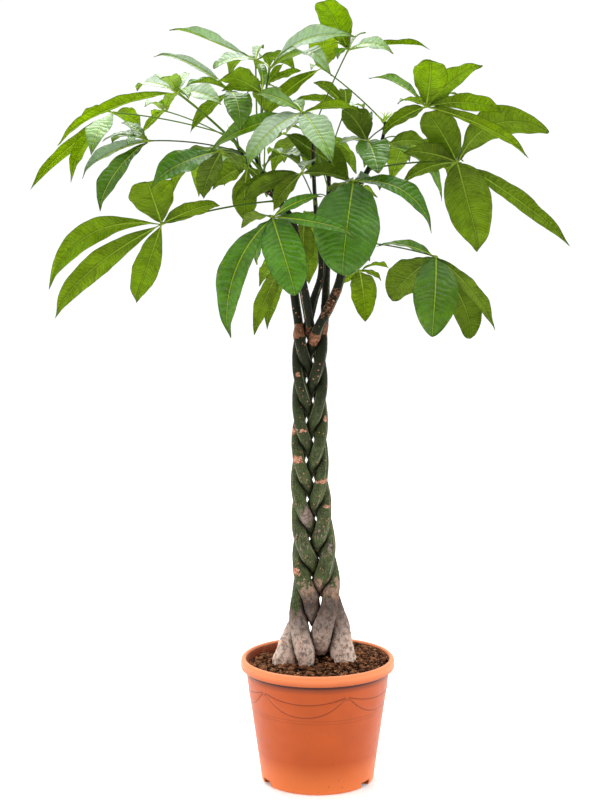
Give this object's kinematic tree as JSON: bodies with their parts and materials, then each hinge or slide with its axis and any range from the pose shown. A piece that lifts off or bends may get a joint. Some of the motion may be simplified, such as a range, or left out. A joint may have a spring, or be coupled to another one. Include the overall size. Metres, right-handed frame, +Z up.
{
  "type": "potted money tree",
  "caption": "Potted money tree with plaited green stems, a crown of hand-shaped compound leaves and a tapered terracotta-coloured plastic pot with swags in relief.",
  "frame": {"origin": "middle of the pot's underside, on the floor", "axes": "+Z up along the trunk, -Y towards the front of the plant as in the picture, +X to the right"},
  "size_m": [0.8149, 0.6054, 1.1866],
  "materials": {
    "pot": "matte",
    "soil": "rough",
    "stem": "satin bark",
    "leaf": "satin"
  },
  "bodies": {
    "root": {"pot": "pot", "soil": "soil", "stem_1": "stem", "stem_2": "stem", "stem_3": "stem", "stem_4": "stem", "stem_5": "stem", "leaf_01": "leaf", "leaf_02": "leaf", "leaf_03": "leaf", "leaf_04": "leaf", "leaf_05": "leaf", "leaf_06": "leaf", "leaf_07": "leaf", "leaf_08": "leaf", "leaf_09": "leaf", "leaf_10": "leaf", "leaf_11": "leaf", "leaf_12": "leaf", "leaf_13": "leaf", "leaf_14": "leaf", "leaf_15": "leaf", "leaf_16": "leaf", "leaf_17": "leaf", "leaf_18": "leaf", "leaf_19": "leaf", "leaf_20": "leaf", "leaf_21": "leaf", "leaf_22": "leaf", "leaf_23": "leaf", "leaf_24": "leaf", "leaf_25": "leaf", "leaf_26": "leaf", "leaf_27": "leaf", "leaf_28": "leaf", "leaf_29": "leaf", "leaf_30": "leaf", "leaf_31": "leaf", "leaf_32": "leaf", "leaf_33": "leaf"}
  },
  "joints": []
}
